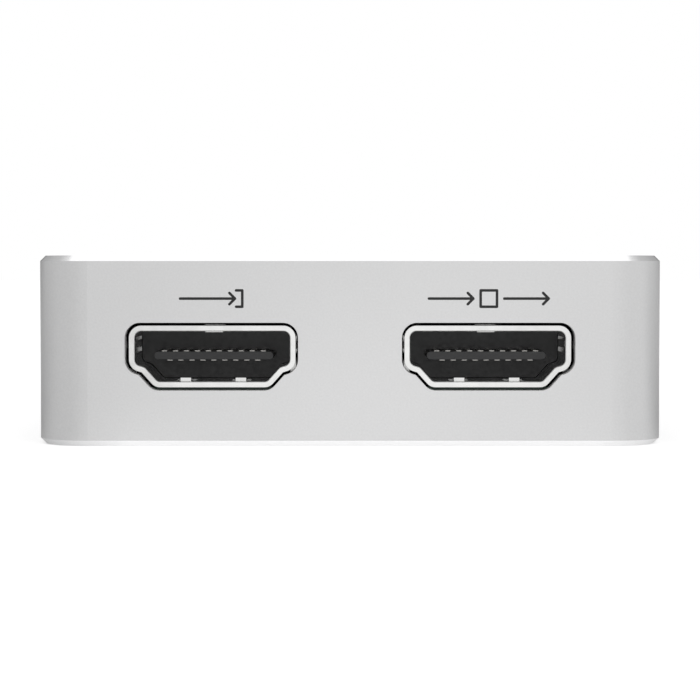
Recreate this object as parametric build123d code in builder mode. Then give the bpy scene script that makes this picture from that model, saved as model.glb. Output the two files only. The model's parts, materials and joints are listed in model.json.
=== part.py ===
from build123d import *
from math import atan2, degrees
import os

os.makedirs("parts", exist_ok=True)

# A flat metal box that takes a video signal in, passes it on and sends it to a computer.
# All lengths are millimetres. The origin is the middle of the underside.
# The two video sockets face the front, which is -Y, and Z is up.

# Case
case_width = 56.6
case_length = 90.0
case_height = 17.1
case_corner_radius = 4.8
case_edge_chamfer = 0.5
case_wall = 2.0
case_roof = 2.0
corner_post = 5.2
corner_post_radius = 2.0

# Base plate, let into the open underside of the case
base_thickness = 1.5
base_clearance = 0.1

# Screws and the threads they go into
screw_diameter = 2.0
screw_clearance = 0.1
thread_clearance = 0.05
thread_depth = 6.0
sunk_head_diameter = 3.8
sunk_head_recess = 0.1
sunk_head_angle = 90
base_screw_length = 5.0
pan_head_diameter = 3.6
pan_head_height = 0.9
pan_head_edge = 0.25
board_screw_length = 4.6
drive_diameter = 1.3
drive_depth = 0.6
drive_sides = 6

# Video sockets: the mouth is a rectangle with both lower corners cut away in a step
socket_post_gap = 1.19
socket_height = 8.01
mouth_setback = 1.3
mouth_width = 14.0
mouth_height = 4.55
mouth_side_drop = 3.0
mouth_step_drop = 3.25
mouth_step_width = 12.2
mouth_floor_width = 9.86
mouth_top_radius = 0.6
mouth_side_radius = 0.6
mouth_step_radius = 0.7
mouth_floor_radius = 0.5
shell_sheet = 0.5
shell_length = 11.0
shell_lead_in = 0.06
cutout_gap = 0.265
cutout_rise = 0.025

# Legs that hold a socket shell in the board
shell_leg_length = 1.6
shell_leg_front = 3.2
shell_leg_inset = 1.6
leg_clearance = 0.1
leg_tail = 0.3

# Springs cut free from the socket shell: width, rise, slit, and depths behind the mouth
spring_sheet = 0.2
spring_lip = 0.08
floor_spring_offset = 2.5
floor_spring_width = 0.95
floor_spring_rise = 0.28
floor_spring_slit = 0.4
floor_spring_tip = 1.5
floor_spring_crest = 1.7
floor_spring_root = 4.6
roof_spring_width = 1.6
roof_spring_rise = 0.17
roof_spring_slit = 0.12
roof_spring_tip = 2.98
roof_spring_crest = 3.2
roof_spring_root = 5.8
side_spring_width = 0.68
side_spring_rise = 0.25
side_spring_slit = 0.42
side_spring_tip = 0.9
side_spring_crest = 1.2
side_spring_root = 7.2
side_spring_drop = 1.27
spring_crest_length = 0.4

# Marks above the sockets, filled flush with the front face
mark_rise = 5.23
mark_stroke = 0.24
mark_depth = 0.05
mark_height = 1.7
input_mark_width = 5.8
loop_mark_width = 10.95
mark_bracket = 0.55
mark_arrow = 0.5
mark_gap = 0.65

# Insulator and contacts inside a video socket
insulator_clearance = 0.04
insulator_floor_depth = 7.5
tongue_width = 10.9
tongue_thickness = 0.78
tongue_tip_depth = 2.2
tongue_tip_chamfer = 0.05
tongue_end_radius = 0.36
contact_pitch = 1.0
contact_width = 0.45
contact_thickness = 0.1
contact_tip_gap = 0.25
upper_contact_count = 10
lower_contact_count = 9
contact_tail_gap = 0.5
contact_foot = 0.9

# Main board, hung from four posts under the roof
board_thickness = 1.6
board_clearance = 0.4
board_post_diameter = 4.8
board_post_inset = 2.9
board_post_from_end = 17.0

# Data socket in the rear wall
data_setback = 1.4
data_pocket_width = 13.0
data_pocket_height = 7.0
data_shell_width = 8.94
data_shell_height = 3.26
data_shell_sheet = 0.3
data_shell_length = 7.4
data_slot_clearance = 0.18
data_floor_depth = 5.2
data_tongue_width = 6.7
data_tongue_thickness = 0.7
data_tongue_tip = 0.8
data_tongue_radius = 0.25
data_contact_pitch = 0.5
data_contact_width = 0.25
data_contact_thickness = 0.08
data_contact_count = 12
data_contact_foot = 0.5
data_leg_length = 1.1
data_leg_front = 2.0
data_leg_rear = 6.0

# Status light behind a clear rod
light_offset = 13.0
light_rod_diameter = 2.0
light_rod_clearance = 0.05
light_rod_edge = 0.2
light_gap = 0.1
light_flange_diameter = 2.9
light_flange_length = 0.6
light_chip_width = 3.2
light_chip_length = 1.5
light_chip_rise = 1.1
light_lens_diameter = 1.6
light_lens_length = 0.3

# Processor, its soft heat pad and the block under the roof
processor_size = 15.0
processor_height = 1.6
processor_lid_margin = 1.0
processor_lid_height = 0.5
processor_lid_radius = 0.6
processor_y = 1.5
pad_thickness = 1.0
heat_block_margin = 1.0

# Other chips: size across, size along, height
chip_chamfer = 0.12
chip_dot_diameter = 0.7
chip_dot_depth = 0.08
chip_dot_inset = 1.1
memory_width = 7.5
memory_length = 11.0
memory_height = 1.0
memory_offset = 14.4
receiver_size = 9.0
receiver_height = 0.9
receiver_gap = 0.9
driver_size = 7.0
driver_height = 0.9
bus_size = 8.0
bus_height = 0.9
bus_drop = 10.3
flash_width = 5.3
flash_length = 5.2
flash_height = 1.8
flash_lead_span = 7.9
flash_lead_pitch = 1.27
flash_lead_count = 4
flash_lead_width = 0.42
flash_lead_height = 0.2
flash_x = -14.0
flash_drop = 11.5
surge_width = 1.0
surge_length = 2.5
surge_height = 0.5
surge_pitch = 2.6
surge_count = 4
surge_gap = 2.65
regulator_size = 3.0
regulator_height = 0.9
coil_size = 4.0
coil_height = 2.0
coil_chamfer = 0.5
coil_from_edge = 9.1
coil_post_gap = 0.5
coil_pitch = 4.4
coil_count = 3
regulator_gap = 0.8
crystal_width = 3.2
crystal_length = 2.5
crystal_height = 0.8
crystal_lid_margin = 0.2
crystal_lid_height = 0.15
crystal_gap = 2.65
crystal_spacing = 14.0
tantalum_width = 3.5
tantalum_length = 2.8
tantalum_height = 1.9
tantalum_end = 0.3
tantalum_post_gap = 4.25
tantalum_drop = 13.5
tantalum_pitch = 4.4
tantalum_count = 3
bead_width = 0.8
bead_length = 1.6
bead_height = 0.8
bead_end = 0.35
cap_step = 0.03
ceramic_pitch = 1.8
ceramic_count = 8
ceramic_gap = 1.0
resistor_height = 0.45
resistor_pitch = 1.6
resistor_count = 5
resistor_gap = 1.15

# Film that keeps the board's solder side off the base plate
film_thickness = 0.2

# Sizes that follow from the ones above
cavity_width = case_width - 2 * case_wall
cavity_length = case_length - 2 * case_wall
cavity_height = case_height - case_roof
cavity_corner_radius = case_corner_radius - case_wall
post_span_x = cavity_width - corner_post
post_span_y = cavity_length - corner_post
mouth_y = mouth_setback - case_length / 2
mouth_top = socket_height + mouth_height / 2
mouth_floor = socket_height - mouth_height / 2
cutout_height = socket_height + cutout_rise
mark_level = socket_height + mark_rise
board_top = mouth_floor - shell_sheet
board_bottom = board_top - board_thickness
board_width = cavity_width - 2 * board_clearance
board_length = cavity_length - 2 * board_clearance
board_post_x = cavity_width / 2 - board_post_inset
board_post_span = cavity_length - 2 * board_post_from_end
data_y = case_length / 2 - data_setback
data_height = board_top + data_shell_height / 2
light_height = data_height
pad_size = processor_size - 2 * processor_lid_margin
pad_bottom = board_top + processor_height
heat_block_bottom = pad_bottom + pad_thickness
tongue_tip_y = mouth_y + tongue_tip_depth
shell_rear_y = mouth_y + shell_length
shell_legs = (shell_leg_front, shell_length - shell_leg_inset)
socket_x = cavity_width / 2 - corner_post - socket_post_gap - shell_sheet - mouth_width / 2
socket_places = (-socket_x, socket_x)

# Places along the board, counted from the sockets, the processor and the rear edge
surge_y = shell_rear_y + contact_tail_gap + contact_foot + surge_gap + surge_length / 2
resistor_y = surge_y + (surge_length + bead_length) / 2 + resistor_gap
receiver_y = resistor_y + (bead_length + receiver_size) / 2 + receiver_gap
ceramic_y = processor_y - (processor_size + bead_length) / 2 - ceramic_gap
crystal_y = processor_y + (processor_size + crystal_length) / 2 + crystal_gap
coil_y = board_length / 2 - coil_from_edge - coil_size / 2
board_post_inner = board_post_x - board_post_diameter / 2
coil_x = board_post_inner - coil_post_gap - coil_size / 2
tantalum_x = board_post_inner - tantalum_post_gap - tantalum_width / 2


def front_plane(x, y, height):
    """Upright plane that faces the front of the case."""
    return Plane(origin=(x, y, height), x_dir=(1, 0, 0), z_dir=(0, -1, 0))


def rear_plane(x, y, height):
    """Upright plane that faces the rear of the case."""
    return Plane(origin=(x, y, height), x_dir=(-1, 0, 0), z_dir=(0, 1, 0))


def socket_outline(growth):
    """Outline of a video socket's mouth, with its wide side up, grown all round."""
    top = mouth_height / 2
    side = top - mouth_side_drop
    step = top - mouth_step_drop
    right = [
        (mouth_width / 2, top, mouth_top_radius),
        (mouth_width / 2, side, mouth_side_radius),
        (mouth_step_width / 2, step, mouth_step_radius),
        (mouth_floor_width / 2, -top, mouth_floor_radius),
    ]
    left = [(-x, y, radius) for x, y, radius in reversed(right)]
    corners = right + left
    with BuildSketch() as outline:
        with BuildLine():
            Polyline(*[(x, y) for x, y, radius in corners], close=True)
        make_face()
        for x, y, radius in corners:
            fillet(outline.vertices().sort_by_distance((x, y))[0], radius)
        if growth:
            offset(amount=growth)
    return outline.sketch


def arrow_lines(start, tip):
    """Lines of an arrow along the middle of a mark."""
    upper = (tip - mark_arrow, mark_arrow)
    lower = (tip - mark_arrow, -mark_arrow)
    return [((start, 0), (tip, 0)), (upper, (tip, 0)), (lower, (tip, 0))]


def chain(points):
    """Lines that join each point to the next."""
    return list(zip(points, points[1:]))


def mark_outline(lines):
    """Round-ended strokes along lines."""
    with BuildSketch() as strokes:
        for start, end in lines:
            run = Vector(*end) - Vector(*start)
            with Locations((Vector(*start) + Vector(*end)) / 2):
                SlotCenterToCenter(run.length, mark_stroke, rotation=degrees(atan2(run.Y, run.X)))
    return strokes.sketch


# Arrow into a bracket, and arrow through a box
mark_half = (mark_height - mark_stroke) / 2
input_half = (input_mark_width - mark_stroke) / 2
loop_half = (loop_mark_width - mark_stroke) / 2
bracket_x = input_half - mark_bracket
bracket = [
    (bracket_x, mark_half),
    (input_half, mark_half),
    (input_half, -mark_half),
    (bracket_x, -mark_half),
]
box = [
    (-mark_half, -mark_half),
    (-mark_half, mark_half),
    (mark_half, mark_half),
    (mark_half, -mark_half),
    (-mark_half, -mark_half),
]
input_lines = arrow_lines(-input_half, input_half - mark_gap) + chain(bracket)
loop_lines = arrow_lines(-loop_half, -mark_half - mark_gap) + chain(box)
loop_lines += arrow_lines(mark_half + mark_gap, loop_half)
mark_outlines = (mark_outline(input_lines), mark_outline(loop_lines))

mouth_outline = socket_outline(0)
shell_outline = socket_outline(shell_sheet)
cutout_outline = socket_outline(shell_sheet + cutout_gap)
insulator_outline = socket_outline(-insulator_clearance)


# Case: roof and four walls in one piece, open underneath
with BuildPart() as housing:
    with BuildSketch():
        RectangleRounded(case_width, case_length, case_corner_radius)
    extrude(amount=case_height)
    rims = housing.edges().group_by(Axis.Z)
    chamfer(rims[0] + rims[-1], case_edge_chamfer)
    with BuildSketch():
        RectangleRounded(cavity_width, cavity_length, cavity_corner_radius)
    extrude(amount=cavity_height, mode=Mode.SUBTRACT)

    # Corner posts for the base screws
    with BuildSketch(Plane.XY.offset(base_thickness)) as posts:
        Rectangle(cavity_width, cavity_length)
        Rectangle(cavity_width - 2 * corner_post, cavity_length, mode=Mode.SUBTRACT)
        Rectangle(cavity_width, cavity_length - 2 * corner_post, mode=Mode.SUBTRACT)
        fillet(posts.vertices().sort_by_distance((0, 0))[:4], corner_post_radius)
    extrude(amount=cavity_height - base_thickness)

    # Posts that the board hangs from, each joined to its side wall
    post_web = board_post_inset + case_wall / 2
    with BuildSketch(Plane.XY.offset(board_top)):
        with GridLocations(2 * board_post_x, board_post_span, 2, 2):
            Circle(board_post_diameter / 2)
        with GridLocations(2 * board_post_x + post_web, board_post_span, 2, 2):
            Rectangle(post_web, board_post_diameter)
    extrude(amount=cavity_height - board_top)

    # Block that carries the processor's heat into the roof
    with BuildSketch(Plane.XY.offset(heat_block_bottom)):
        with Locations((0, processor_y)):
            Rectangle(pad_size + 2 * heat_block_margin, pad_size + 2 * heat_block_margin)
    extrude(amount=cavity_height - heat_block_bottom)

    # Threaded holes in both sets of posts
    with BuildSketch(Plane.XY.offset(base_thickness)):
        with GridLocations(post_span_x, post_span_y, 2, 2):
            Circle(screw_diameter / 2 + thread_clearance)
    extrude(amount=thread_depth, mode=Mode.SUBTRACT)
    with BuildSketch(Plane.XY.offset(board_top)):
        with GridLocations(2 * board_post_x, board_post_span, 2, 2):
            Circle(screw_diameter / 2 + thread_clearance)
    extrude(amount=thread_depth, mode=Mode.SUBTRACT)

    # Openings for the two video sockets, and shallow marks above them
    for place, mark in zip(socket_places, mark_outlines):
        with BuildSketch(front_plane(place, -case_length / 2, cutout_height)):
            add(cutout_outline)
        extrude(amount=-case_wall, mode=Mode.SUBTRACT)
        with BuildSketch(front_plane(place, -case_length / 2, mark_level)):
            add(mark)
        extrude(amount=-mark_depth, mode=Mode.SUBTRACT)

    # Pocket and slot for the data socket, and the hole for the light rod
    with BuildSketch(rear_plane(0, case_length / 2, data_height)):
        SlotOverall(data_pocket_width, data_pocket_height)
    extrude(amount=-data_setback, mode=Mode.SUBTRACT)
    with BuildSketch(rear_plane(0, case_length / 2, data_height)):
        SlotOverall(
            data_shell_width + 2 * data_slot_clearance,
            data_shell_height + 2 * data_slot_clearance,
        )
    extrude(amount=-case_wall, mode=Mode.SUBTRACT)
    with BuildSketch(rear_plane(light_offset, case_length / 2, light_height)):
        Circle(light_rod_diameter / 2 + light_rod_clearance)
    extrude(amount=-case_wall, mode=Mode.SUBTRACT)
housing.part.label = "housing"


# Base plate with countersunk holes from below
with BuildPart() as base_plate:
    with BuildSketch():
        RectangleRounded(
            cavity_width - 2 * base_clearance,
            cavity_length - 2 * base_clearance,
            cavity_corner_radius - base_clearance,
        )
    extrude(amount=base_thickness)
    with Locations(Plane.XY.rotated((180, 0, 0))):
        with GridLocations(post_span_x, post_span_y, 2, 2):
            CounterSinkHole(
                radius=screw_diameter / 2 + screw_clearance,
                counter_sink_radius=sunk_head_diameter / 2 + sunk_head_recess,
                counter_sink_angle=sunk_head_angle,
            )
base_plate.part.label = "base_plate"


# Four countersunk screws that hold the base plate
with BuildPart() as sunk_screw:
    head_radius = sunk_head_diameter / 2
    shank_radius = screw_diameter / 2
    with BuildSketch(Plane.XZ):
        with BuildLine():
            Polyline(
                (0, sunk_head_recess),
                (head_radius, sunk_head_recess),
                (shank_radius, sunk_head_recess + head_radius - shank_radius),
                (shank_radius, base_screw_length),
                (0, base_screw_length),
                close=True,
            )
        make_face()
    revolve(axis=Axis.Z)
    with BuildSketch(Plane.XY.offset(sunk_head_recess)):
        RegularPolygon(drive_diameter / 2, drive_sides)
    extrude(amount=drive_depth, mode=Mode.SUBTRACT)

with BuildPart() as base_screws:
    with GridLocations(post_span_x, post_span_y, 2, 2):
        add(sunk_screw.part)
base_screws.part.label = "base_screws"


# Four pan head screws that hold the board to its posts
with BuildPart() as pan_screw:
    with BuildSketch(Plane.XY.offset(board_bottom - pan_head_height)):
        Circle(pan_head_diameter / 2)
    extrude(amount=pan_head_height)
    fillet(pan_screw.edges().group_by(Axis.Z)[0], pan_head_edge)
    with BuildSketch(Plane.XY.offset(board_bottom)):
        Circle(screw_diameter / 2)
    extrude(amount=board_screw_length)
    with BuildSketch(Plane.XY.offset(board_bottom - pan_head_height)):
        RegularPolygon(drive_diameter / 2, drive_sides)
    extrude(amount=drive_depth, mode=Mode.SUBTRACT)

with BuildPart() as board_screws:
    with GridLocations(2 * board_post_x, board_post_span, 2, 2):
        add(pan_screw.part)
board_screws.part.label = "board_screws"


def shell_springs(socket_x):
    """Springs in a shell's floor, roof and sides: plane at the wall, sizes and depths."""
    def at(x, z, normal):
        return Plane(origin=(x, mouth_y, z), x_dir=(0, 1, 0), z_dir=normal)

    floor_sizes = (floor_spring_width, floor_spring_rise, floor_spring_slit, spring_sheet)
    floor_depths = (floor_spring_tip, floor_spring_crest, floor_spring_root)
    roof_sizes = (roof_spring_width, roof_spring_rise, roof_spring_slit, spring_sheet)
    roof_depths = (roof_spring_tip, roof_spring_crest, roof_spring_root)
    side_sizes = (side_spring_width, side_spring_rise, side_spring_slit, shell_sheet)
    side_depths = (side_spring_tip, side_spring_crest, side_spring_root)
    springs = [(at(socket_x, mouth_top, (-1, 0, 0)), roof_sizes, roof_depths)]
    for side in (-1, 1):
        floor_x = socket_x + side * floor_spring_offset
        springs.append((at(floor_x, mouth_floor, (1, 0, 0)), floor_sizes, floor_depths))
        outer_x = socket_x + side * (mouth_width / 2 + shell_sheet)
        side_plane = at(outer_x, mouth_top - side_spring_drop, (0, 0, -side))
        springs.append((side_plane, side_sizes, side_depths))
    return springs


def socket_shell(socket_x):
    """Sheet metal shell of a video socket, with its springs and its legs."""
    with BuildPart() as shell:
        with BuildSketch(front_plane(socket_x, mouth_y, socket_height)):
            add(shell_outline)
            add(mouth_outline, mode=Mode.SUBTRACT)
        extrude(amount=-shell_length)
        chamfer(shell.faces().sort_by(Axis.Y)[0].inner_wires().edges(), shell_lead_in)

        # Floor and roof springs lean into the mouth, and side springs lean out
        for plane, (width, rise, slit, sheet), depths in shell_springs(socket_x):
            tip, crest, root = depths
            with BuildSketch(plane):
                with Locations(((tip + root) / 2, 0)):
                    Rectangle(root - tip, 2 * shell_sheet)
            extrude(amount=width / 2 + slit, both=True, mode=Mode.SUBTRACT)
            with BuildSketch(plane):
                with BuildLine():
                    Polyline(
                        (root, -sheet),
                        (root, 0),
                        (crest + spring_crest_length, rise),
                        (crest, rise),
                        (crest - spring_lip, 0),
                        (crest - spring_lip, -sheet),
                        (crest, rise - sheet),
                        (crest + spring_crest_length, rise - sheet),
                        close=True,
                    )
                make_face()
            extrude(amount=width / 2, both=True)

        # Legs down through the board
        leg_drop = mouth_top - mouth_side_drop + shell_sheet - board_bottom + leg_tail
        for leg_y in shell_legs:
            with BuildSketch(Plane.XY.offset(board_bottom - leg_tail)):
                with Locations((socket_x, mouth_y + leg_y)):
                    with GridLocations(mouth_width + shell_sheet, 0, 2, 1):
                        Rectangle(shell_sheet, shell_leg_length)
            extrude(amount=leg_drop)
    return shell.part


def bent_contact(tip, level, bend, thickness, width, foot):
    """Flat contact from its tip to a bend, down to the board and out in a foot."""
    way = 1 if bend > tip else -1
    outer = bend + way * thickness
    end = bend + way * foot
    with BuildPart() as contact:
        with BuildSketch(Plane.YZ):
            with BuildLine():
                Polyline(
                    (tip, level),
                    (tip, level + thickness),
                    (outer, level + thickness),
                    (outer, board_top + thickness),
                    (end, board_top + thickness),
                    (end, board_top),
                    (bend, board_top),
                    (bend, level),
                    close=True,
                )
            make_face()
        extrude(amount=width / 2, both=True)
    return contact.part


def contact_row(socket_x, side, count):
    """Row of contacts on the upper (1) or lower (-1) face of a socket's tongue."""
    contact = bent_contact(
        tongue_tip_y + contact_tip_gap,
        socket_height + side * tongue_thickness / 2 - contact_thickness / 2,
        shell_rear_y + contact_tail_gap,
        contact_thickness,
        contact_width,
        contact_foot,
    )
    with BuildPart() as row:
        with Locations((socket_x, 0)):
            with GridLocations(contact_pitch, 0, count, 1):
                add(contact)
    return row.part


def socket_insulator(socket_x, rows):
    """Moulded block with the tongue that a plug slides over."""
    block_y = mouth_y + insulator_floor_depth
    with BuildPart() as insulator:
        with BuildSketch(front_plane(socket_x, block_y, socket_height)):
            add(insulator_outline)
        extrude(amount=insulator_floor_depth - shell_length)
        with BuildSketch(front_plane(socket_x, tongue_tip_y, socket_height)):
            RectangleRounded(tongue_width, tongue_thickness, tongue_end_radius)
        extrude(amount=tongue_tip_depth - insulator_floor_depth)
        chamfer(insulator.edges().group_by(Axis.Y)[0], tongue_tip_chamfer)
        add(rows, mode=Mode.SUBTRACT)
    return insulator.part


pieces = [housing.part, base_plate.part, base_screws.part, board_screws.part]

# The two video sockets, alike but for their place and their mark
for place, name, outline in zip(socket_places, ("input", "loop"), mark_outlines):
    with BuildPart() as mark:
        with BuildSketch(front_plane(place, -case_length / 2, mark_level)):
            add(outline)
        extrude(amount=-mark_depth)
    mark.part.label = name + "_mark"
    pieces.append(mark.part)
    shell = socket_shell(place)
    shell.label = name + "_socket_shell"
    upper_row = contact_row(place, 1, upper_contact_count)
    upper_row.label = name + "_upper_contacts"
    lower_row = contact_row(place, -1, lower_contact_count)
    lower_row.label = name + "_lower_contacts"
    insulator = socket_insulator(place, [upper_row, lower_row])
    insulator.label = name + "_socket_insulator"
    pieces += [shell, upper_row, lower_row, insulator]


# Main board with slots for the socket legs and holes for its screws
with BuildPart() as main_board:
    with BuildSketch(Plane.XY.offset(board_bottom)):
        Rectangle(board_width, board_length)
        with GridLocations(board_width, board_length, 2, 2):
            Rectangle(2 * corner_post, 2 * corner_post, mode=Mode.SUBTRACT)
        with GridLocations(2 * board_post_x, board_post_span, 2, 2):
            Circle(screw_diameter / 2 + screw_clearance, mode=Mode.SUBTRACT)
        for place in socket_places:
            for leg_y in shell_legs:
                with Locations((place, mouth_y + leg_y)):
                    with GridLocations(mouth_width + shell_sheet, 0, 2, 1):
                        Rectangle(
                            shell_sheet + 2 * leg_clearance,
                            shell_leg_length + 2 * leg_clearance,
                            mode=Mode.SUBTRACT,
                        )
        for leg_y in (data_leg_front, data_leg_rear):
            with Locations((0, data_y - leg_y)):
                with GridLocations(data_shell_width - data_shell_sheet, 0, 2, 1):
                    Rectangle(
                        data_shell_sheet + 2 * leg_clearance,
                        data_leg_length + 2 * leg_clearance,
                        mode=Mode.SUBTRACT,
                    )
    extrude(amount=board_thickness)
main_board.part.label = "main_board"


# Film on the base plate under the board's solder side
with BuildPart() as insulating_film:
    with BuildSketch(Plane.XY.offset(base_thickness)):
        Rectangle(board_width, board_length)
        with GridLocations(board_width, board_length, 2, 2):
            Rectangle(2 * corner_post, 2 * corner_post, mode=Mode.SUBTRACT)
    extrude(amount=film_thickness)
insulating_film.part.label = "insulating_film"


# Data socket in the rear wall: oval shell, contacts and insulator
with BuildPart() as data_shell:
    with BuildSketch(rear_plane(0, data_y, data_height)):
        SlotOverall(data_shell_width, data_shell_height)
        SlotOverall(
            data_shell_width - 2 * data_shell_sheet,
            data_shell_height - 2 * data_shell_sheet,
            mode=Mode.SUBTRACT,
        )
    extrude(amount=-data_shell_length)
    for leg_y in (data_leg_front, data_leg_rear):
        with BuildSketch(Plane.XY.offset(board_bottom - leg_tail)):
            with Locations((0, data_y - leg_y)):
                with GridLocations(data_shell_width - data_shell_sheet, 0, 2, 1):
                    Rectangle(data_shell_sheet, data_leg_length)
        extrude(amount=data_height - board_bottom + leg_tail)
data_shell.part.label = "data_socket_shell"

data_rear_y = data_y - data_shell_length
upper_data_contact = bent_contact(
    data_y - data_tongue_tip - contact_tip_gap,
    data_height + data_tongue_thickness / 2 - data_contact_thickness / 2,
    data_rear_y - 2 * contact_tail_gap - data_contact_foot,
    data_contact_thickness,
    data_contact_width,
    data_contact_foot,
)
lower_data_contact = bent_contact(
    data_y - data_tongue_tip - contact_tip_gap,
    data_height - data_tongue_thickness / 2 - data_contact_thickness / 2,
    data_rear_y - contact_tail_gap,
    data_contact_thickness,
    data_contact_width,
    data_contact_foot,
)
with BuildPart() as data_contacts:
    with GridLocations(data_contact_pitch, 0, data_contact_count, 1):
        add(upper_data_contact)
        add(lower_data_contact)
data_contacts.part.label = "data_contacts"

with BuildPart() as data_insulator:
    with BuildSketch(rear_plane(0, data_y - data_floor_depth, data_height)):
        SlotOverall(
            data_shell_width - 2 * data_shell_sheet - 2 * insulator_clearance,
            data_shell_height - 2 * data_shell_sheet - 2 * insulator_clearance,
        )
    extrude(amount=data_floor_depth - data_shell_length)
    with BuildSketch(rear_plane(0, data_y - data_tongue_tip, data_height)):
        RectangleRounded(data_tongue_width, data_tongue_thickness, data_tongue_radius)
    extrude(amount=data_tongue_tip - data_floor_depth)
    chamfer(data_insulator.edges().group_by(Axis.Y)[-1], tongue_tip_chamfer)
    add(data_contacts.part, mode=Mode.SUBTRACT)
data_insulator.part.label = "data_socket_insulator"


# Clear rod through the rear wall and the light behind it
with BuildPart() as light_rod:
    with BuildSketch(rear_plane(light_offset, case_length / 2, light_height)):
        Circle(light_rod_diameter / 2)
    extrude(amount=-case_wall)
    fillet(light_rod.edges().group_by(Axis.Y)[-1], light_rod_edge)
    with BuildSketch(rear_plane(light_offset, cavity_length / 2, light_height)):
        Circle(light_flange_diameter / 2)
    extrude(amount=-light_flange_length)
light_rod.part.label = "light_rod"

lens_y = cavity_length / 2 - light_flange_length - light_gap
with BuildPart() as status_light:
    with BuildSketch(rear_plane(light_offset, lens_y, light_height)):
        Circle(light_lens_diameter / 2)
    extrude(amount=-light_lens_length)
    with BuildSketch(Plane.XY.offset(board_top)):
        with Locations((light_offset, lens_y - light_lens_length - light_chip_length / 2)):
            Rectangle(light_chip_width, light_chip_length)
    extrude(amount=light_height - board_top + light_chip_rise)
status_light.part.label = "status_light"


# Video processor, the soft pad on its lid
with BuildPart() as video_processor:
    with BuildSketch(Plane.XY.offset(board_top)):
        with Locations((0, processor_y)):
            Rectangle(processor_size, processor_size)
    extrude(amount=processor_height - processor_lid_height)
    chamfer(video_processor.edges().group_by(Axis.Z)[-1], chip_chamfer)
    with BuildSketch(Plane.XY.offset(pad_bottom - processor_lid_height)):
        with Locations((0, processor_y)):
            RectangleRounded(pad_size, pad_size, processor_lid_radius)
    extrude(amount=processor_lid_height)
video_processor.part.label = "video_processor"

with BuildPart() as heat_pad:
    with BuildSketch(Plane.XY.offset(pad_bottom)):
        with Locations((0, processor_y)):
            Rectangle(pad_size, pad_size)
    extrude(amount=pad_thickness)
heat_pad.part.label = "heat_pad"


def chip(width, length, height):
    """Flat chip with a chamfered top edge and a dot by its first contact."""
    with BuildPart() as package:
        with BuildSketch(Plane.XY.offset(board_top)):
            Rectangle(width, length)
        extrude(amount=height)
        chamfer(package.edges().group_by(Axis.Z)[-1], chip_chamfer)
        with BuildSketch(Plane.XY.offset(board_top + height)):
            with Locations((chip_dot_inset - width / 2, length / 2 - chip_dot_inset)):
                Circle(chip_dot_diameter / 2)
        extrude(amount=-chip_dot_depth, mode=Mode.SUBTRACT)
    return package.part


def capped_block(width, length, height, cap):
    """Small two-ended component whose end caps stand slightly proud of its body."""
    with BuildPart() as block:
        with BuildSketch(Plane.XY.offset(board_top)):
            Rectangle(width - 2 * cap_step, length)
        extrude(amount=height - cap_step)
        with BuildSketch(Plane.XY.offset(board_top)):
            with GridLocations(0, length - cap, 1, 2):
                Rectangle(width, cap)
        extrude(amount=height)
    return block.part


def placed(name, piece, places):
    """Copies of one component at several places on the board, as one node."""
    with BuildPart() as group:
        with Locations(*places):
            add(piece)
    group.part.label = name
    return group.part


memory_places = [(-memory_offset, processor_y), (memory_offset, processor_y)]
memory = chip(memory_width, memory_length, memory_height)
receiver = chip(receiver_size, receiver_size, receiver_height)
driver = chip(driver_size, driver_size, driver_height)
bus_chip = chip(bus_size, bus_size, bus_height)
pieces += [
    placed("memory_chips", memory, memory_places),
    placed("video_receiver", receiver, [(socket_places[0], receiver_y)]),
    placed("loop_driver", driver, [(socket_places[1], receiver_y)]),
    placed("data_bus_chip", bus_chip, [(0, coil_y - bus_drop)]),
]


# Settings memory in a leaded package
with BuildPart() as settings_memory:
    flash_body = chip(flash_width, flash_length, flash_height)
    with Locations((flash_x, coil_y - flash_drop)):
        add(flash_body)
    with BuildSketch(Plane.XY.offset(board_top)):
        with Locations((flash_x, coil_y - flash_drop)):
            with GridLocations(0, flash_lead_pitch, 1, flash_lead_count):
                Rectangle(flash_lead_span, flash_lead_width)
    extrude(amount=flash_lead_height)
settings_memory.part.label = "settings_memory"


# Surge arrays, one behind each group of contacts
surge_array = chip(surge_width, surge_length, surge_height)
surge_places = [
    (place + (n - (surge_count - 1) / 2) * surge_pitch, surge_y)
    for place in socket_places
    for n in range(surge_count)
]

# Power coils with a voltage regulator beside each
with BuildPart() as coil:
    with BuildSketch(Plane.XY.offset(board_top)) as coil_base:
        Rectangle(coil_size, coil_size)
        chamfer(coil_base.vertices(), coil_chamfer)
    extrude(amount=coil_height)
    fillet(coil.edges().group_by(Axis.Z)[-1], chip_chamfer)
coil_places = [(-coil_x + n * coil_pitch, coil_y) for n in range(coil_count)]
regulator = chip(regulator_size, regulator_size, regulator_height)
regulator_drop = (coil_size + regulator_size) / 2 + regulator_gap
regulator_places = [(x, y - regulator_drop) for x, y in coil_places]

# Crystals either side of the processor's rear edge
with BuildPart() as crystal:
    with BuildSketch(Plane.XY.offset(board_top)):
        Rectangle(crystal_width, crystal_length)
    extrude(amount=crystal_height - crystal_lid_height)
    with BuildSketch(Plane.XY.offset(board_top + crystal_height - crystal_lid_height)):
        Rectangle(
            crystal_width - 2 * crystal_lid_margin,
            crystal_length - 2 * crystal_lid_margin,
        )
    extrude(amount=crystal_lid_height)
crystal_places = [(-crystal_spacing / 2, crystal_y), (crystal_spacing / 2, crystal_y)]

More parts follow.
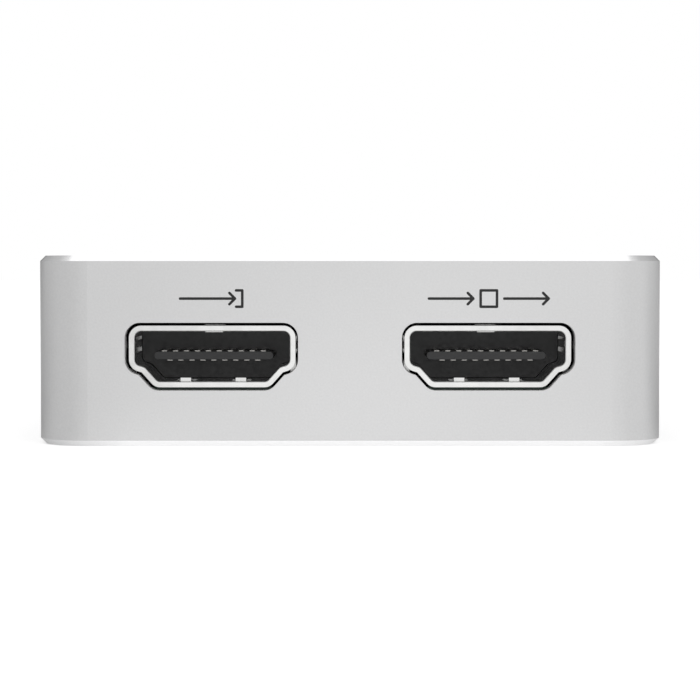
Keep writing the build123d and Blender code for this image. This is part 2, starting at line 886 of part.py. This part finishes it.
tantalum = capped_block(tantalum_width, tantalum_length, tantalum_height, tantalum_end)
tantalum_places = [
    (tantalum_x, coil_y - tantalum_drop + n * tantalum_pitch) for n in range(tantalum_count)
]
ceramic = capped_block(bead_width, bead_length, bead_height, bead_end)
ceramic_places = [
    ((n - (ceramic_count - 1) / 2) * ceramic_pitch, ceramic_y)
    for n in range(ceramic_count)
]
resistor = capped_block(bead_width, bead_length, resistor_height, bead_end)
resistor_places = [
    (place + (n - (resistor_count - 1) / 2) * resistor_pitch, resistor_y)
    for place in socket_places
    for n in range(resistor_count)
]
pieces += [
    placed("surge_arrays", surge_array, surge_places),
    placed("power_coils", coil.part, coil_places),
    placed("voltage_regulators", regulator, regulator_places),
    placed("crystals", crystal.part, crystal_places),
    placed("bulk_capacitors", tantalum, tantalum_places),
    placed("ceramic_capacitors", ceramic, ceramic_places),
    placed("resistors", resistor, resistor_places),
]

pieces += [main_board.part, insulating_film.part]
pieces += [data_shell.part, data_contacts.part, data_insulator.part]
pieces += [light_rod.part, status_light.part]
pieces += [video_processor.part, heat_pad.part, settings_memory.part]
for piece in pieces:
    export_step(piece, "parts/" + piece.label + ".step")
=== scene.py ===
import json
import math

import bpy
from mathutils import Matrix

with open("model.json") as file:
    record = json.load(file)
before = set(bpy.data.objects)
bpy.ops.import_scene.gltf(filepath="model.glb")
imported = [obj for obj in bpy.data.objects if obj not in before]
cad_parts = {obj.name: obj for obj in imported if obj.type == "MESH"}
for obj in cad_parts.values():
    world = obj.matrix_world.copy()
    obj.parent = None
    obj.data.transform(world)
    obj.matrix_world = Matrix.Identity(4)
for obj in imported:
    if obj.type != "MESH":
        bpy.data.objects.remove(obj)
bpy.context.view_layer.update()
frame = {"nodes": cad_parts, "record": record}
nodes = frame["nodes"]
scene = bpy.context.scene
scene.view_settings.view_transform = "Standard"

MM = 0.001
NOISE_RANGE = (0.3, 0.7)
WHITE = (1.0, 1.0, 1.0)

# Case: blasted faces, and chamfers at the roof and at the foot painted lighter as a highlight, and
# smoother
CASE_COLOR, CASE_ROUGHNESS = (0.7, 0.7, 0.7), 0.42
BLASTED_COLORS = ((0.685, 0.685, 0.687), (0.735, 0.735, 0.737))
BLASTED_ROUGHNESS = (0.38, 0.46)
# Lighter colour of the chamfers at the roof and the foot: a painted highlight
CHAMFER_HIGHLIGHT_COLOR = (0.93, 0.93, 0.935)
CHAMFER_ROUGHNESS = 0.16
TOP_EDGE_ABOVE = 16.5 * MM
FOOT_EDGE_BELOW = 0.6 * MM
EDGE_LEAN_OVER, EDGE_LEAN_UNDER = 0.5, 0.9
GRAIN_SCALE, GRAIN_DETAIL_SHARE, GRAIN_SHARE = 5200.0, 0.55, 0.6
CLOUD_SCALE, CLOUD_SHARE = 38.0, 0.4
CLOUD_RANGE = (0.35, 0.65)
GRAIN_DEPTH, GRAIN_STRENGTH = 0.010 * MM, 0.55
FLAT_HEIGHT = 0.5

# Plated sheet metal: colour, range of roughness, and noise scale of the drawing lines
PLATED = {
    "screw_steel": ((0.58, 0.58, 0.59), (0.24, 0.38), (3000, 3000, 3000)),
    "socket_metal": ((0.90, 0.90, 0.89), (0.16, 0.28), (900, 9000, 900)),
    "contact_gold": ((0.84, 0.82, 0.785), (0.2, 0.34), (6000, 600, 600)),
    "crystal_can": ((0.70, 0.69, 0.66), (0.22, 0.34), (900, 9000, 900)),
}
PLATED_ROUGHNESS = 0.25
PLATED_DARK_SHARE = 0.86
LINE_DETAIL, LINE_DETAIL_SHARE = 4.0, 0.6
LINE_DEPTH, LINE_STRENGTH = 0.002 * MM, 0.4
PATCH_SCALE = 700.0

# Moulded or pressed: dark and light colour, range of roughness, the skin's noise scale, and
# its depth in millimetres
MOULDED = {
    "socket_plastic": ((0.018, 0.018, 0.019), (0.026, 0.026, 0.027), (0.32, 0.48), 3500, 0.006),
    "mark_ink": ((0.006, 0.006, 0.006), (0.010, 0.010, 0.010), (0.5, 0.65), 5200, 0.003),
    "board_laminate": ((0.010, 0.045, 0.025), (0.016, 0.062, 0.036), (0.22, 0.34), 2500, 0.004),
    "chip_plastic": ((0.020, 0.020, 0.021), (0.030, 0.030, 0.031), (0.42, 0.58), 6000, 0.006),
    "pad_rubber": ((0.30, 0.40, 0.50), (0.38, 0.47, 0.57), (0.62, 0.8), 1800, 0.012),
    "film_plastic": ((0.035, 0.035, 0.035), (0.05, 0.05, 0.05), (0.2, 0.32), 900, 0.003),
    "coil_ferrite": ((0.10, 0.10, 0.105), (0.14, 0.14, 0.145), (0.5, 0.66), 5200, 0.01),
    "capacitor_resin": ((0.028, 0.026, 0.024), (0.04, 0.038, 0.035), (0.4, 0.55), 5200, 0.006),
    "small_ceramic": ((0.42, 0.33, 0.22), (0.52, 0.42, 0.30), (0.35, 0.5), 5200, 0.006),
    "light_chip": ((0.80, 0.80, 0.76), (0.86, 0.86, 0.82), (0.25, 0.4), 2600, 0.003),
}
SKIN_DETAIL, SKIN_STRENGTH = 3.0, 0.5
SKIN_TO_CLOUD = 40

# Clear rod of the light
ROD_COLOR, ROD_ROUGHNESS = (0.95, 0.96, 0.97), 0.12
ROD_TRANSMISSION, ROD_IOR = 0.85, 1.49
HAZE_SCALE, HAZE_ROUGHNESS = 2200.0, (0.08, 0.22)

# Floor: what the metal mirrors of it glows in front of the box and behind it, less at its
# ends, and not beside the box
FLOOR_SIZE = 6.0
FLOOR_DROP = 0.02 * MM
FLOOR_ROUGHNESS = 0.9
FLOOR_COLOR, FLOOR_COLOR_SEEN = (0.55, 0.55, 0.55), (0.9, 0.9, 0.9)
FLOOR_GLOW, FLOOR_GLOW_SEEN = 0.6, 0.42
FRONT_FADE = (-44.6 * MM, -30.0 * MM)
REAR_FADE = (50.0 * MM, 75.0 * MM)
LEFT_FADE, LEFT_SHARE = (-28.0 * MM, -20.0 * MM), 0.4
RIGHT_FADE, RIGHT_SHARE = (22.0 * MM, 29.0 * MM), 0.7

# Room: level from straight ahead of the box, at 0, to straight behind it, at 1
ROOM = (
    (0.0, 1.08),
    (0.03, 0.99),
    (0.1, 0.84),
    (0.3, 0.82),
    (0.5, 0.80),
    (0.65, 0.93),
    (0.75, 0.80),
    (0.85, 0.3),
    (0.94, 0.04),
    (1.0, 0.0),
)
# What is added from the left side to the right one, full when level and less above
SIDE_REACH, SIDE_LEVELS = (-0.3, 0.5), (-0.07, 0.02)
SIDE_HEIGHTS, SIDE_SHARES = (0.1, 0.45), (1.0, -0.25)
# The upper part behind the box, which the roof mirrors
UPPER_HEIGHTS, UPPER_MOST = (0.04, 0.25), 0.85
BEHIND_REACH = (0.1, 0.35)
UPPER_LEVEL = 0.45

# Lamps: place, target, size and watts
LAMPS = {
    "overhead": ((0, 0, 0.8), (0, 0, 0), (0.8, 0.8), 0.6),
    "right_card": ((0.5, -0.12, 0.1), (0, -0.02, 0.01), (0.3, 0.25), 0.02),
}

# Camera: level with the upper part of the front face, and tilted down a little
SENSOR_WIDTH = 36.0
FOCAL_PIXELS, PICTURE_PIXELS = 2237.0, 700.0
CAMERA_PLACE = (0, -245.0 * MM, 15.8 * MM)
CAMERA_TILT = 2.05
CAMERA_NEAR, CAMERA_FAR = 0.005, 20.0


def feed(tree, socket, value):
    """Gives a socket a number or a colour, or links another socket to it."""
    if isinstance(value, bpy.types.NodeSocket):
        tree.links.new(value, socket)
    elif isinstance(value, tuple):
        socket.default_value = (*value, 1.0)
    else:
        socket.default_value = value


def new_material(name, color, roughness, metallic=0.0, specular=0.5):
    """A material with its node tree and its shader."""
    mat = bpy.data.materials.new(name)
    mat.use_nodes = True
    tree = mat.node_tree
    shader = tree.nodes["Principled BSDF"]
    feed(tree, shader.inputs["Base Color"], color)
    feed(tree, shader.inputs["Roughness"], roughness)
    feed(tree, shader.inputs["Metallic"], metallic)
    feed(tree, shader.inputs["Specular IOR Level"], specular)
    return mat, tree, shader


def place(tree, stretch=(1, 1, 1)):
    """Position on the object in metres, stretched along an axis where asked."""
    coord = tree.nodes.new("ShaderNodeTexCoord")
    mapping = tree.nodes.new("ShaderNodeMapping")
    mapping.inputs["Scale"].default_value = stretch
    tree.links.new(coord.outputs["Object"], mapping.inputs["Vector"])
    return mapping.outputs["Vector"]


def axes(tree, vector):
    """The X, Y and Z of a vector."""
    node = tree.nodes.new("ShaderNodeSeparateXYZ")
    tree.links.new(vector, node.inputs["Vector"])
    return node.outputs


def noise(tree, vector, scale, detail=2.0, rough=0.5):
    """Noise around 0.5. Scale is per metre on an unstretched position."""
    node = tree.nodes.new("ShaderNodeTexNoise")
    feed(tree, node.inputs["Scale"], scale)
    feed(tree, node.inputs["Detail"], detail)
    feed(tree, node.inputs["Roughness"], rough)
    tree.links.new(vector, node.inputs["Vector"])
    return node.outputs["Fac"]


def spread(tree, value, target, source=NOISE_RANGE):
    """Value moved from the range source to the range target, and kept in it."""
    node = tree.nodes.new("ShaderNodeMapRange")
    feed(tree, node.inputs["From Min"], source[0])
    feed(tree, node.inputs["From Max"], source[1])
    feed(tree, node.inputs["To Min"], target[0])
    feed(tree, node.inputs["To Max"], target[1])
    tree.links.new(value, node.inputs["Value"])
    return node.outputs["Result"]


def maths(tree, operation, *values):
    """One step of arithmetic on numbers or sockets."""
    node = tree.nodes.new("ShaderNodeMath")
    node.operation = operation
    for socket, value in zip(node.inputs, values):
        feed(tree, socket, value)
    return node.outputs["Value"]


def mix(tree, kind, mask, a, b):
    """a where the mask is 0 and b where it is 1. The kind is FLOAT or RGBA."""
    node = tree.nodes.new("ShaderNodeMix")
    node.data_type = kind
    feed(tree, node.inputs["Factor"], mask)
    feed(tree, node.inputs["A"], a)
    feed(tree, node.inputs["B"], b)
    return node.outputs["Result"]


def bump(tree, shader, height, distance, strength):
    """Surface relief from a height of 0 to 1, at a distance in metres."""
    node = tree.nodes.new("ShaderNodeBump")
    feed(tree, node.inputs["Strength"], strength)
    feed(tree, node.inputs["Distance"], distance)
    tree.links.new(height, node.inputs["Height"])
    tree.links.new(node.outputs["Normal"], shader.inputs["Normal"])


def case_metal(name):
    """Blasted and clear anodised aluminium, with a painted highlight: the chamfers at the top and
    at the foot are lighter, and smoother.
    """
    mat, tree, shader = new_material(name, CASE_COLOR, CASE_ROUGHNESS, 1.0)
    where = place(tree)
    grain = noise(tree, where, GRAIN_SCALE, rough=GRAIN_DETAIL_SHARE)
    cloud = noise(tree, where, CLOUD_SCALE)

    # 1 on the leaning faces at the top and at the foot, 0 elsewhere
    geometry = tree.nodes.new("ShaderNodeNewGeometry")
    lean = maths(tree, "ABSOLUTE", axes(tree, geometry.outputs["True Normal"])["Z"])
    over = maths(tree, "GREATER_THAN", lean, EDGE_LEAN_OVER)
    under = maths(tree, "LESS_THAN", lean, EDGE_LEAN_UNDER)
    level = axes(tree, where)["Z"]
    top = maths(tree, "GREATER_THAN", level, TOP_EDGE_ABOVE)
    foot = maths(tree, "LESS_THAN", level, FOOT_EDGE_BELOW)
    leaning = maths(tree, "MULTIPLY", over, under)
    edge = maths(tree, "MULTIPLY", leaning, maths(tree, "MAXIMUM", top, foot))

    grain_part = maths(tree, "MULTIPLY", grain, GRAIN_SHARE)
    cloud_part = maths(tree, "MULTIPLY", cloud, CLOUD_SHARE)
    mixed = maths(tree, "ADD", grain_part, cloud_part)
    blasted = mix(tree, "RGBA", spread(tree, mixed, (0, 1), CLOUD_RANGE), *BLASTED_COLORS)
    rough = spread(tree, grain, BLASTED_ROUGHNESS)
    # Painted highlight: the chamfers take a lighter colour than the blasted faces, and a smoother
    # surface
    feed(tree, shader.inputs["Base Color"], mix(tree, "RGBA", edge, blasted, CHAMFER_HIGHLIGHT_COLOR))
    feed(tree, shader.inputs["Roughness"], mix(tree, "FLOAT", edge, rough, CHAMFER_ROUGHNESS))
    height = mix(tree, "FLOAT", edge, grain, FLAT_HEIGHT)
    bump(tree, shader, height, GRAIN_DEPTH, GRAIN_STRENGTH)
    return mat


def plated_metal(name, color, roughness, scratch):
    """Plated sheet metal with faint drawing lines."""
    mat, tree, shader = new_material(name, color, PLATED_ROUGHNESS, 1.0)
    lines = noise(tree, place(tree, scratch), 1.0, LINE_DETAIL, LINE_DETAIL_SHARE)
    patches = noise(tree, place(tree), PATCH_SCALE)
    mixed = maths(tree, "MULTIPLY", maths(tree, "ADD", lines, patches), 0.5)
    dark = tuple(PLATED_DARK_SHARE * part for part in color)
    tone = mix(tree, "RGBA", spread(tree, mixed, (0, 1)), dark, color)
    feed(tree, shader.inputs["Roughness"], spread(tree, mixed, roughness))
    feed(tree, shader.inputs["Base Color"], tone)
    bump(tree, shader, lines, LINE_DEPTH, LINE_STRENGTH)
    return mat


def moulded(name, dark, light, roughness, scale, depth):
    """Moulded or pressed material with a fine skin. The depth is in millimetres."""
    mat, tree, shader = new_material(name, dark, roughness[0])
    where = place(tree)
    skin = noise(tree, where, scale, SKIN_DETAIL)
    cloud = noise(tree, where, scale / SKIN_TO_CLOUD)
    tone = mix(tree, "RGBA", spread(tree, cloud, (0, 1)), dark, light)
    feed(tree, shader.inputs["Roughness"], spread(tree, skin, roughness))
    feed(tree, shader.inputs["Base Color"], tone)
    bump(tree, shader, skin, depth * MM, SKIN_STRENGTH)
    return mat


def clear_rod(name):
    """Clear acrylic with a little haze, for the light's rod."""
    mat, tree, shader = new_material(name, ROD_COLOR, ROD_ROUGHNESS)
    shader.inputs["Transmission Weight"].default_value = ROD_TRANSMISSION
    shader.inputs["IOR"].default_value = ROD_IOR
    haze = noise(tree, place(tree), HAZE_SCALE)
    feed(tree, shader.inputs["Roughness"], spread(tree, haze, HAZE_ROUGHNESS))
    return mat


def lamp(name, spot, target, size, watts):
    """A rectangular lamp at a spot, turned to its target."""
    data = bpy.data.lights.new(name, "AREA")
    data.shape = "RECTANGLE"
    data.size, data.size_y = size
    data.energy = watts
    obj = bpy.data.objects.new(name, data)
    scene.collection.objects.link(obj)
    obj.location = spot
    aim_x, aim_y, aim_z = (t - s for t, s in zip(target, spot))
    flat = math.hypot(aim_x, aim_y)
    turn = math.atan2(-aim_x, aim_y) if flat else 0
    obj.rotation_euler = (math.atan2(flat, -aim_z), 0, turn)


materials = {"case_metal": case_metal("case_metal"), "light_clear": clear_rod("light_clear")}
for slot, facts in PLATED.items():
    materials[slot] = plated_metal(slot, *facts)
for slot, facts in MOULDED.items():
    materials[slot] = moulded(slot, *facts)

record_slots = {part["node"]: part["material_slot"] for part in frame["record"]["subparts"]}
for node, obj in nodes.items():
    mat = materials[record_slots[node]]
    if not obj.material_slots:
        obj.data.materials.append(mat)
    for holder in obj.material_slots:
        holder.material = mat

# Floor: white to the camera, with the box's shadow
bpy.ops.mesh.primitive_plane_add(size=FLOOR_SIZE, location=(0, 0, -FLOOR_DROP))
floor = bpy.context.object
floor.name = "floor"
floor_mat, tree, shader = new_material("floor_white", FLOOR_COLOR, FLOOR_ROUGHNESS, specular=0.0)
ground = axes(tree, place(tree))
past_front = spread(tree, ground["Y"], (0, 1), FRONT_FADE)
before_rear = spread(tree, ground["Y"], (1, 0), REAR_FADE)
beside = maths(tree, "MULTIPLY", past_front, before_rear)
left_share = spread(tree, ground["X"], (LEFT_SHARE, 1), LEFT_FADE)
right_share = spread(tree, ground["X"], (1, RIGHT_SHARE), RIGHT_FADE)
ahead = maths(tree, "MULTIPLY", maths(tree, "SUBTRACT", 1.0, beside), FLOOR_GLOW)
ends = maths(tree, "MULTIPLY", left_share, right_share)
mirrored = maths(tree, "MULTIPLY", ahead, ends)
seen = tree.nodes.new("ShaderNodeLightPath").outputs["Is Camera Ray"]
feed(tree, shader.inputs["Emission Color"], WHITE)
feed(tree, shader.inputs["Emission Strength"], mix(tree, "FLOAT", seen, mirrored, FLOOR_GLOW_SEEN))
feed(tree, shader.inputs["Base Color"], mix(tree, "RGBA", seen, FLOOR_COLOR, FLOOR_COLOR_SEEN))
floor.data.materials.append(floor_mat)

# Room: white to the camera, brighter in front of the box than behind it
world = bpy.data.worlds.new("studio")
scene.world = world
world.use_nodes = True
sky = world.node_tree
direction = axes(sky, sky.nodes.new("ShaderNodeTexCoord").outputs["Generated"])
ramp = sky.nodes.new("ShaderNodeValToRGB")
stops = ramp.color_ramp.elements
for spot, _ in ROOM[1:-1]:
    stops.new(spot)
for stop, (spot, level) in zip(stops, ROOM):
    stop.position = spot
    stop.color = (level, level, level, 1.0)
sky.links.new(spread(sky, direction["Y"], (0, 1), (-1, 1)), ramp.inputs["Fac"])
side = spread(sky, direction["X"], SIDE_LEVELS, SIDE_REACH)
side_share = spread(sky, direction["Z"], SIDE_SHARES, SIDE_HEIGHTS)
around = maths(sky, "ADD", ramp.outputs["Color"], maths(sky, "MULTIPLY", side, side_share))
above = spread(sky, direction["Z"], (0, UPPER_MOST), UPPER_HEIGHTS)
behind = spread(sky, direction["Y"], (0, 1), BEHIND_REACH)
room = mix(sky, "FLOAT", maths(sky, "MULTIPLY", above, behind), around, UPPER_LEVEL)
seen = sky.nodes.new("ShaderNodeLightPath").outputs["Is Camera Ray"]
background = sky.nodes["Background"]
feed(sky, background.inputs["Strength"], mix(sky, "FLOAT", seen, room, 1.0))
feed(sky, background.inputs["Color"], WHITE)

for name, facts in LAMPS.items():
    lamp(name, *facts)

camera_data = bpy.data.cameras.new("camera")
camera_data.sensor_width = SENSOR_WIDTH
camera_data.lens = FOCAL_PIXELS / PICTURE_PIXELS * SENSOR_WIDTH
camera_data.clip_start = CAMERA_NEAR
camera_data.clip_end = CAMERA_FAR
camera = bpy.data.objects.new("camera", camera_data)
scene.collection.objects.link(camera)
camera.location = CAMERA_PLACE
camera.rotation_euler = (math.radians(90 - CAMERA_TILT), 0, 0)
scene.camera = camera
